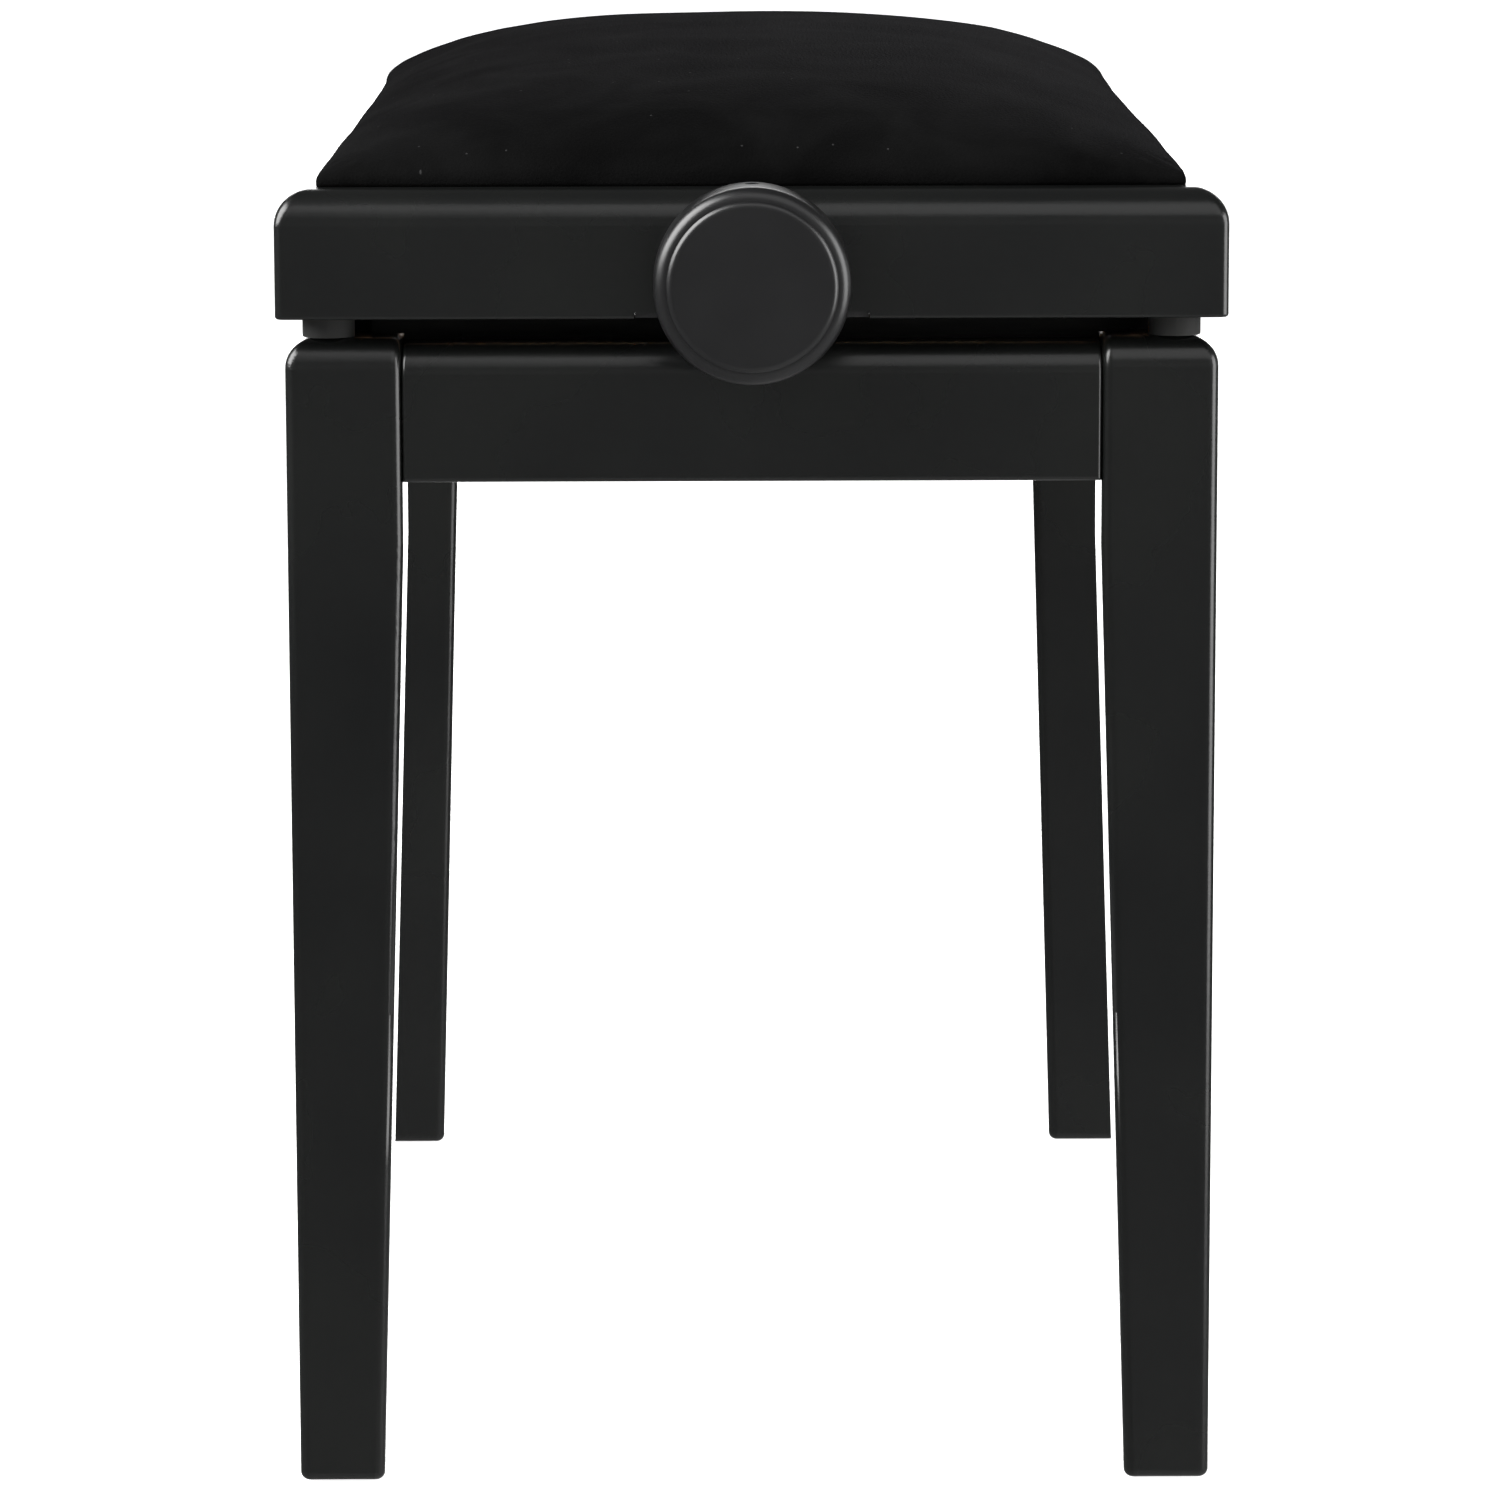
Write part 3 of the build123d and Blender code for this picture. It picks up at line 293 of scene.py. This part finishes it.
shader = add(tree, "ShaderNodeBsdfPrincipled", {"Base Color": painted_gap_shade_ramp.outputs["Color"], "Roughness": 0.85,
                                                "IOR": 1.5, "Specular IOR Level": 0.15,
                                                "Normal": raised.outputs["Normal"]})
add(tree, "ShaderNodeOutputMaterial", {"Surface": shader.outputs["BSDF"]})
dress(["base_lips"], gap_strips_painted_shade)
print("stained:", gap_strips_painted_shade.name)

# %% [markdown]
# ## Bare wood inside
# Corner blocks are sawn beech: pinkish tan, with short dark flecks along the grain.
# The seat board is birch plywood, whose edge shows plies about 1.5 mm thick.
# A band pattern that only depends on height draws the plies on the edge and leaves the faces plain.

# %% Beech and plywood
FLECK_MM = 2.0
PLY_MM = 1.5
WAVE_LENGTH = math.tau / 20      # metres that a wave texture of scale 1 takes to repeat

beech, tree = new_material("sawn_beech")
place = add(tree, "ShaderNodeTexCoord")
along = add(tree, "ShaderNodeMapping", {"Vector": place.outputs["Object"], "Scale": (1.0, 1.0, 0.15)})
flecks = add(tree, "ShaderNodeTexNoise", {"Vector": along.outputs["Vector"], "Scale": 1000 / FLECK_MM,
                                          "Detail": 2.0})
wood = add(tree, "ShaderNodeValToRGB", {"Fac": flecks.outputs["Fac"]})
wood.color_ramp.elements[0].position, wood.color_ramp.elements[0].color = 0.35, colour("a97c54")
wood.color_ramp.elements[1].position, wood.color_ramp.elements[1].color = 0.6, colour("c9a078")
saw_marks = add(tree, "ShaderNodeBump", {"Height": flecks.outputs["Fac"], "Strength": 0.3, "Distance": 0.0003})
shader = add(tree, "ShaderNodeBsdfPrincipled", {"Base Color": wood.outputs["Color"], "Roughness": 0.7,
                                                "IOR": 1.5, "Normal": saw_marks.outputs["Normal"]})
add(tree, "ShaderNodeOutputMaterial", {"Surface": shader.outputs["BSDF"]})
dress(["base_corner_blocks", "seat_corner_blocks"], beech)

plywood, tree = new_material("birch_plywood")
place = add(tree, "ShaderNodeTexCoord")
along = add(tree, "ShaderNodeMapping", {"Vector": place.outputs["Object"], "Scale": (0.06, 1.0, 1.0)})
figure = add(tree, "ShaderNodeTexNoise", {"Vector": along.outputs["Vector"], "Scale": 220.0, "Detail": 3.0})
two_plies = 2 * PLY_MM / 1000
plies = add(tree, "ShaderNodeTexWave", {"Vector": place.outputs["Object"], "Scale": WAVE_LENGTH / two_plies},
            bands_direction="Z")
veneer = add(tree, "ShaderNodeValToRGB", {"Fac": figure.outputs["Fac"]})
veneer.color_ramp.elements[0].position, veneer.color_ramp.elements[0].color = 0.3, colour("c7a87b")
veneer.color_ramp.elements[1].position, veneer.color_ramp.elements[1].color = 0.7, colour("dcc296")
striped = add(tree, "ShaderNodeMix", {"Factor": plies.outputs["Fac"], "A": veneer.outputs["Color"],
                                      "B": colour("a8855a")}, data_type="RGBA")
shader = add(tree, "ShaderNodeBsdfPrincipled", {"Base Color": striped.outputs["Result"], "Roughness": 0.62,
                                                "IOR": 1.5})
add(tree, "ShaderNodeOutputMaterial", {"Surface": shader.outputs["BSDF"]})
dress(["seat_board"], plywood)
print("bare wood:", beech.name, plywood.name)

# %% [markdown]
# ## Steel of the lift
# The arms, channels and spindle brackets are mild steel with a black powder coat,
# which is a tough paint with a fine pebbled skin.
# The axles, pins, rings, spindle and screws are zinc plated: a grey-white metal with slight cloudy patches.
# A metal keeps the default IOR, because its colour alone sets how it reflects.

# %% Powder coat and zinc
PEBBLE_MM = 0.9     # real powder coat has ripples of about 0.4 mm

powder_coat, tree = new_material("black_powder_coat")
place = add(tree, "ShaderNodeTexCoord")
pebbles = add(tree, "ShaderNodeTexVoronoi", {"Vector": place.outputs["Object"], "Scale": 1000 / PEBBLE_MM},
              feature="SMOOTH_F1")
dust = add(tree, "ShaderNodeTexNoise", {"Vector": place.outputs["Object"], "Scale": 30.0, "Detail": 5.0})
skin = add(tree, "ShaderNodeBump", {"Height": pebbles.outputs["Distance"], "Strength": 0.25, "Distance": 0.0003})
coat = add(tree, "ShaderNodeValToRGB", {"Fac": dust.outputs["Fac"]})
coat.color_ramp.elements[0].position, coat.color_ramp.elements[0].color = 0.3, colour("131314")
coat.color_ramp.elements[1].position, coat.color_ramp.elements[1].color = 0.75, colour("1e1e1f")
shader = add(tree, "ShaderNodeBsdfPrincipled", {"Base Color": coat.outputs["Color"], "Roughness": 0.48,
                                                "IOR": 1.5, "Normal": skin.outputs["Normal"]})
add(tree, "ShaderNodeOutputMaterial", {"Surface": shader.outputs["BSDF"]})
coated_parts = [n for n in nodes if n.startswith(("outer_arm", "inner_arm", "spindle_bracket"))]
coated_parts += [f"{part}_channel_{side}" for part in ("base", "seat") for side in ("left", "right")]
dress(coated_parts, powder_coat)

zinc, tree = new_material("zinc_plated_steel")
place = add(tree, "ShaderNodeTexCoord")
patches = add(tree, "ShaderNodeTexNoise", {"Vector": place.outputs["Object"], "Scale": 60.0, "Detail": 4.0})
turned = add(tree, "ShaderNodeTexNoise", {"Vector": place.outputs["Object"], "Scale": 1400.0, "Detail": 2.0})
plate = add(tree, "ShaderNodeValToRGB", {"Fac": patches.outputs["Fac"]})
plate.color_ramp.elements[0].position, plate.color_ramp.elements[0].color = 0.3, colour("a9adb1")
plate.color_ramp.elements[1].position, plate.color_ramp.elements[1].color = 0.7, colour("c9cac6")
blur = add(tree, "ShaderNodeMapRange", {"Value": patches.outputs["Fac"], "From Min": 0.3, "From Max": 0.7,
                                        "To Min": 0.26, "To Max": 0.4})
scuffs = add(tree, "ShaderNodeBump", {"Height": turned.outputs["Fac"], "Strength": 0.08, "Distance": 0.0002})
shader = add(tree, "ShaderNodeBsdfPrincipled", {"Base Color": plate.outputs["Color"], "Metallic": 1.0,
                                                "Roughness": blur.outputs[0], "Normal": scuffs.outputs["Normal"]})
add(tree, "ShaderNodeOutputMaterial", {"Surface": shader.outputs["BSDF"]})
plated = ("screw", "bolt", "axle", "pins", "rings", "washers", "thrust_collar", "cross_bar")
zinc_parts = ["spindle"] + [n for n in nodes if any(word in n for word in plated)]
dress(zinc_parts, zinc)
print("powder coated:", len(coated_parts), "zinc plated:", len(zinc_parts))

# %% [markdown]
# ## Brass, nylon, rubber and glides
# The nut is turned brass, which runs well on a steel thread, and the bushes are cream nylon.
# A small share of light scatters inside nylon, which takes the hardness off its edges.
# The bumpers are soft pale grey rubber, drawn nearly black as painted shade of the notch under the seat frame,
# and the foot glides are brown moulded plastic.

# %% Small parts
brass, tree = new_material("turned_brass")
place = add(tree, "ShaderNodeTexCoord")
along = add(tree, "ShaderNodeMapping", {"Vector": place.outputs["Object"], "Scale": (1.0, 0.1, 0.1)})
lathe = add(tree, "ShaderNodeTexNoise", {"Vector": along.outputs["Vector"], "Scale": 1500.0, "Detail": 2.0})
warm = add(tree, "ShaderNodeValToRGB", {"Fac": lathe.outputs["Fac"]})
warm.color_ramp.elements[0].color, warm.color_ramp.elements[1].color = colour("b08a3e"), colour("d2b062")
rings = add(tree, "ShaderNodeBump", {"Height": lathe.outputs["Fac"], "Strength": 0.15, "Distance": 0.0002})
shader = add(tree, "ShaderNodeBsdfPrincipled", {"Base Color": warm.outputs["Color"], "Metallic": 1.0,
                                                "Roughness": 0.28, "Normal": rings.outputs["Normal"]})
add(tree, "ShaderNodeOutputMaterial", {"Surface": shader.outputs["BSDF"]})
dress(["spindle_nut"], brass)


def moulded(name, dark, light, roughness, grain_mm, depth, scatter=0.0, ior=1.5):
    """A moulded part: slight colour clouds and the fine grain of its mould."""
    material, tree = new_material(name)
    place = add(tree, "ShaderNodeTexCoord")
    clouds = add(tree, "ShaderNodeTexNoise", {"Vector": place.outputs["Object"], "Scale": 45.0, "Detail": 3.0})
    grain = add(tree, "ShaderNodeTexNoise", {"Vector": place.outputs["Object"], "Scale": 1000 / grain_mm,
                                             "Detail": 2.0})
    body = add(tree, "ShaderNodeValToRGB", {"Fac": clouds.outputs["Fac"]})
    body.color_ramp.elements[0].position, body.color_ramp.elements[0].color = 0.3, colour(dark)
    body.color_ramp.elements[1].position, body.color_ramp.elements[1].color = 0.7, colour(light)
    skin = add(tree, "ShaderNodeBump", {"Height": grain.outputs["Fac"], "Strength": depth, "Distance": 0.0002})
    shader = add(tree, "ShaderNodeBsdfPrincipled", {"Base Color": body.outputs["Color"], "Roughness": roughness,
                                                    "IOR": ior, "Subsurface Weight": scatter,
                                                    "Normal": skin.outputs["Normal"]})
    shader.inputs["Subsurface Radius"].default_value = (0.002, 0.002, 0.0015)
    add(tree, "ShaderNodeOutputMaterial", {"Surface": shader.outputs["BSDF"]})
    return material


nylon = moulded("cream_nylon", "c9c4b2", "dad6c6", 0.45, 0.8, 0.1, scatter=0.15, ior=1.53)
# The nearly black bumper colour is painted shade: the bumpers sit in the shaded notch under the seat frame.
bumper_rubber_painted_shade = moulded("grey_rubber_painted_shade", "0f0f0e", "171715", 0.75, 0.6, 0.3, ior=1.52)
glide_plastic = moulded("brown_moulded_plastic", "2b2019", "382a20", 0.5, 0.8, 0.15, ior=1.49)
dress([n for n in nodes if "bush" in n], nylon)
dress(["bumpers"], bumper_rubber_painted_shade)
dress(["foot_glides"], glide_plastic)
print("small parts:", brass.name, nylon.name, bumper_rubber_painted_shade.name, glide_plastic.name)

# %% [markdown]
# ## The knobs
# Each knob is moulded black plastic, an ABS, with a smooth satin skin.
# It is a touch less glossy than the lacquer, and its rounded edges show the soft boxes as bright crescents.

# %% Knob plastic
knob_plastic = moulded("black_satin_abs", "0a0a0b", "0e0e0f", 0.33, 1.2, 0.04, ior=1.53)
dress(["knob_near", "knob_far"], knob_plastic)
bare = [n for n in nodes if n not in ("velvet_cover", "foam_pad") and len(nodes[n].data.materials) != 1]
print("parts without a finish:", bare)

# %% [markdown]
# ## The seat: its shape
# The seat is a foam pad under tight velvet, drawn down and stapled under the board.
# It is a crowned form: highest in the middle, falling in a full curve to all four edges.
# The long sides pull in a few millimetres between the corners, where the cloth is under most tension.
# A grid over the pad is the plain way to draw it: two numbers from -1 to 1 place each point,
# and one formula with a power just above 2 gives the curve of a stuffed pad, flatter on top than an ellipse.

# %% Crowned form
RESTS_AT = 0.4557              # the frame's top, where the cloth turns under
PRESSED = 0.002                # the form starts this much lower, and is pressed flat on the frame at the end
PAD_BASE = RESTS_AT - PRESSED
HALF_LENGTH, HALF_WIDTH = 0.2630, 0.1506
SIDE_PULL, END_PULL = 0.0060, 0.0015
EDGE_HEIGHT = 0.0050           # a short upright edge, part of it pressed flat later
RISE = 0.0390
CROWN_POWER, FALL_POWER = 2.21, 2.25
SLACK = 0.0015                 # the form starts this much low, because the cloth swells out


def crowned_form(slack):
    """A closed mesh of the pad: crowned above, flat below."""
    steps_long, steps_wide = 96, 64
    shape = bmesh.new()
    rows = []
    for i in range(steps_long + 1):
        t = math.sin(math.pi / 2 * (2 * i / steps_long - 1))
        row = []
        for j in range(steps_wide + 1):
            s = math.sin(math.pi / 2 * (2 * j / steps_wide - 1))
            x = t * (HALF_LENGTH - END_PULL * (1 - s * s))
            y = s * (HALF_WIDTH - SIDE_PULL * (1 - t * t))
            bulge = max(0.0, (1 - abs(s) ** CROWN_POWER) * (1 - abs(t) ** CROWN_POWER))
            z = PAD_BASE + EDGE_HEIGHT + (RISE - EDGE_HEIGHT - slack + PRESSED) * bulge ** (1 / FALL_POWER)
            row.append(shape.verts.new((x, y, z)))
        rows.append(row)
    for i in range(steps_long):
        for j in range(steps_wide):
            shape.faces.new((rows[i][j], rows[i + 1][j], rows[i + 1][j + 1], rows[i][j + 1]))
    rim = [rows[i][0] for i in range(steps_long)] + [rows[-1][j] for j in range(steps_wide)]
    rim += [rows[i][-1] for i in range(steps_long, 0, -1)] + [rows[0][j] for j in range(steps_wide, 0, -1)]
    feet = [shape.verts.new((v.co.x, v.co.y, PAD_BASE)) for v in rim]
    for k in range(len(rim)):
        n = (k + 1) % len(rim)
        shape.faces.new((rim[n], rim[k], feet[k], feet[n]))
    shape.faces.new(feet)
    bmesh.ops.recalc_face_normals(shape, faces=shape.faces)
    mesh = bpy.data.meshes.new("velvet_seat")
    shape.to_mesh(mesh)
    shape.free()
    return mesh


seat_mesh = crowned_form(SLACK)
seat = bpy.data.objects.new("velvet_seat", seat_mesh)
bpy.context.scene.collection.objects.link(seat)
print("pad form:", len(seat_mesh.vertices), "points")

# %% [markdown]
# ## The seat: the cloth
# A voxel remesh first turns the form into even small faces, which a cloth simulation needs.
# Air pressure then blows the skin outwards a little, as foam does under velvet.
# The underside is pinned, because the board holds it flat.
# Left alone the cloth would also slide and crease, and this seat is stretched tight.
# So only the swelling is kept: how far each point moved straight out, capped, and averaged with its neighbours.
# One subdivision smooths what is left.

# %% Cloth simulation
VOXEL = 0.0045
AIR_PRESSURE = 4.0
LAST_FRAME = 20
MOST_TRAVEL = 0.0025
SOFTEN_TIMES = 30


def even_faces(obj, size):
    """Remeshes an object to even faces of about this size."""
    bpy.context.view_layer.objects.active = obj
    remesh = obj.modifiers.new("even_faces", "REMESH")
    remesh.mode = "VOXEL"
    remesh.voxel_size = size
    bpy.ops.object.modifier_apply(modifier=remesh.name)


def points_of(mesh):
    """The mesh's points as an array."""
    flat = np.zeros(len(mesh.vertices) * 3)
    mesh.vertices.foreach_get("co", flat)
    return flat.reshape(-1, 3)


def normals_of(mesh):
    """The direction straight out of the surface at each point."""
    flat = np.zeros(len(mesh.vertices) * 3)
    mesh.vertices.foreach_get("normal", flat)
    return flat.reshape(-1, 3)


def set_points(mesh, points):
    """Writes an array of points to the mesh."""
    mesh.vertices.foreach_set("co", points.astype(np.float32).ravel())
    mesh.update()


even_faces(seat, VOXEL)
before = points_of(seat.data)
outward = normals_of(seat.data)
held = seat.vertex_groups.new(name="held")
held.add([int(i) for i in np.nonzero(before[:, 2] < PAD_BASE + PRESSED)[0]], 1.0, "REPLACE")
cloth = seat.modifiers.new("cloth", "CLOTH")
cloth.settings.use_pressure = True
cloth.settings.uniform_pressure_force = AIR_PRESSURE
cloth.settings.effector_weights.gravity = 0
cloth.settings.vertex_group_mass = "held"
cloth.point_cache.frame_start, cloth.point_cache.frame_end = 1, LAST_FRAME
for moment in range(1, LAST_FRAME + 1):
    bpy.context.scene.frame_set(moment)
bpy.ops.object.modifier_apply(modifier=cloth.name)
swell = np.clip(np.sum((points_of(seat.data) - before) * outward, axis=1), 0, MOST_TRAVEL)
edges = np.zeros(len(seat.data.edges) * 2, dtype=int)
seat.data.edges.foreach_get("vertices", edges)
first, second = edges.reshape(-1, 2).T
neighbours = np.bincount(np.concatenate((first, second)), minlength=len(swell))
for _ in range(SOFTEN_TIMES):
    total = np.bincount(first, swell[second], len(swell)) + np.bincount(second, swell[first], len(swell))
    swell = (swell + total / neighbours) / 2
set_points(seat.data, before + outward * swell[:, None])
bpy.context.scene.frame_set(1)
print("cloth swelled", round(1000 * float(swell.mean()), 2), "mm on average,",
      round(1000 * float(swell.max()), 2), "at most")

smooth = seat.modifiers.new("smooth", "SUBSURF")
smooth.levels = smooth.render_levels = 1
bpy.ops.object.modifier_apply(modifier=smooth.name)
print("seat:", len(seat.data.vertices), "points")

# %% [markdown]
# ## The seat: folds and unevenness
# At each corner the cloth has to be gathered, so two or three shallow tucks run up from the edge and die out.
# Elsewhere the foam is never perfectly even, so a slow noise moves the skin by a fraction of a millimetre.
# Both are moves of points along their normals, so the outline hardly changes.

# %% Corner tucks
GATHERED_AT = 0.012      # how far in from the corner the tucks start
FAN_CENTRE = 0.020       # the tucks fan out from a point still further in
FAN_TURNS = 14
TUCK_REACH = 0.045
TUCK_HEIGHT = 0.022
TUCK_DEPTH = 0.0011
UNEVEN = 0.0005
UNEVEN_SIZE = 0.055
EVEN_EDGE, EVEN_FADE = 0.003, 0.006     # the lowest millimetres stay even

points = points_of(seat.data)
normals = normals_of(seat.data)
moves = np.zeros(len(points))
for sx in (-1, 1):
    for sy in (-1, 1):
        corner = np.array((sx * (HALF_LENGTH - GATHERED_AT), sy * (HALF_WIDTH - GATHERED_AT)))
        out = (points[:, :2] - corner) * (sx, sy)
        angle = np.arctan2(out[:, 1] + FAN_CENTRE, out[:, 0] + FAN_CENTRE)
        distance = np.linalg.norm(points[:, :2] - corner, axis=1)
        near = np.clip(1 - distance / TUCK_REACH, 0, 1) ** 2
        low = np.clip(1 - (points[:, 2] - PAD_BASE) / TUCK_HEIGHT, 0, 1)
        moves -= TUCK_DEPTH * near * low * np.cos(angle * FAN_TURNS + sx + 2 * sy) ** 2
slow = np.array([noise.noise(Vector(p) / UNEVEN_SIZE) for p in points])
top = np.clip((points[:, 2] - PAD_BASE - EVEN_EDGE) / EVEN_FADE, 0, 1)
moves += UNEVEN * slow * top
points += normals * moves[:, None]
points[:, 2] = np.maximum(points[:, 2], RESTS_AT)
set_points(seat.data, points)
seat.data.polygons.foreach_set("use_smooth", [True] * len(seat.data.polygons))
print("deepest tuck", round(1000 * float(-moves.min()), 2), "mm")

# %% [markdown]
# ## Black velvet
# Velvet is a dense pile of short fibres that stand up from the cloth.
# Seen from straight on, light sinks between them, and seen along the surface their sides catch it,
# so it is darkest facing the eye and lightest along its edges: that is what the sheen is for.
# The fibre tips make no smooth face that could reflect, so the specular level is 0.
# The pile lies in brushed patches a few centimetres wide, and cloth this dark shows tiny specks of lint.

# %% Velvet
PILE_MM = 1.0         # pile tufts are about 0.3 mm, drawn coarser so that they show
PATCH_MM = 45.0
LINT_SPACING_MM = 16.0
LINT_RADIUS = 0.022   # as a share of the spacing
LINT_MISSING = 0.72   # share of places that have none

velvet, tree = new_material("black_cotton_velvet")
place = add(tree, "ShaderNodeTexCoord")
pile = add(tree, "ShaderNodeTexNoise", {"Vector": place.outputs["Object"], "Scale": 1000 / PILE_MM,
                                        "Detail": 2.0})
brushed = add(tree, "ShaderNodeTexNoise", {"Vector": place.outputs["Object"], "Scale": 1000 / PATCH_MM,
                                           "Detail": 3.0, "Distortion": 0.6})
lint = add(tree, "ShaderNodeTexVoronoi", {"Vector": place.outputs["Object"], "Scale": 1000 / LINT_SPACING_MM},
           voronoi_dimensions="2D")
speck = add(tree, "ShaderNodeMath", {0: lint.outputs["Distance"], 1: LINT_RADIUS}, operation="LESS_THAN")
chance = add(tree, "ShaderNodeMath", {0: lint.outputs["Color"], 1: LINT_MISSING}, operation="GREATER_THAN")
shown = add(tree, "ShaderNodeMath", {0: speck.outputs[0], 1: chance.outputs[0]}, operation="MULTIPLY")
cloth_tint = add(tree, "ShaderNodeValToRGB", {"Fac": brushed.outputs["Fac"]})
darker, lighter = cloth_tint.color_ramp.elements
darker.position, darker.color = 0.35, colour("080808")
lighter.position, lighter.color = 0.7, colour("0f0f0f")
with_lint = add(tree, "ShaderNodeMix", {"Factor": shown.outputs[0], "A": cloth_tint.outputs["Color"],
                                        "B": colour("2e2e2e")}, data_type="RGBA")
tufts = add(tree, "ShaderNodeBump", {"Height": pile.outputs["Fac"], "Strength": 0.5, "Distance": 0.0006})
lie = add(tree, "ShaderNodeBump", {"Height": brushed.outputs["Fac"], "Strength": 0.25, "Distance": 0.002,
                                   "Normal": tufts.outputs["Normal"]})
shader = add(tree, "ShaderNodeBsdfPrincipled", {"Base Color": with_lint.outputs["Result"], "Roughness": 0.95,
                                                "Specular IOR Level": 0.0, "Sheen Weight": 0.02,
                                                "Sheen Roughness": 0.35, "Sheen Tint": colour("c8c8cc"),
                                                "Normal": lie.outputs["Normal"]})
add(tree, "ShaderNodeOutputMaterial", {"Surface": shader.outputs["BSDF"]})
seat.data.materials.clear()
seat.data.materials.append(velvet)

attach(seat, "seat_frame")
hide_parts("velvet_cover", "foam_pad")
print("velvet seat from", round(1000 * min(p.co.z for p in seat.data.vertices), 1), "to",
      round(1000 * max(p.co.z for p in seat.data.vertices), 1), "mm high")
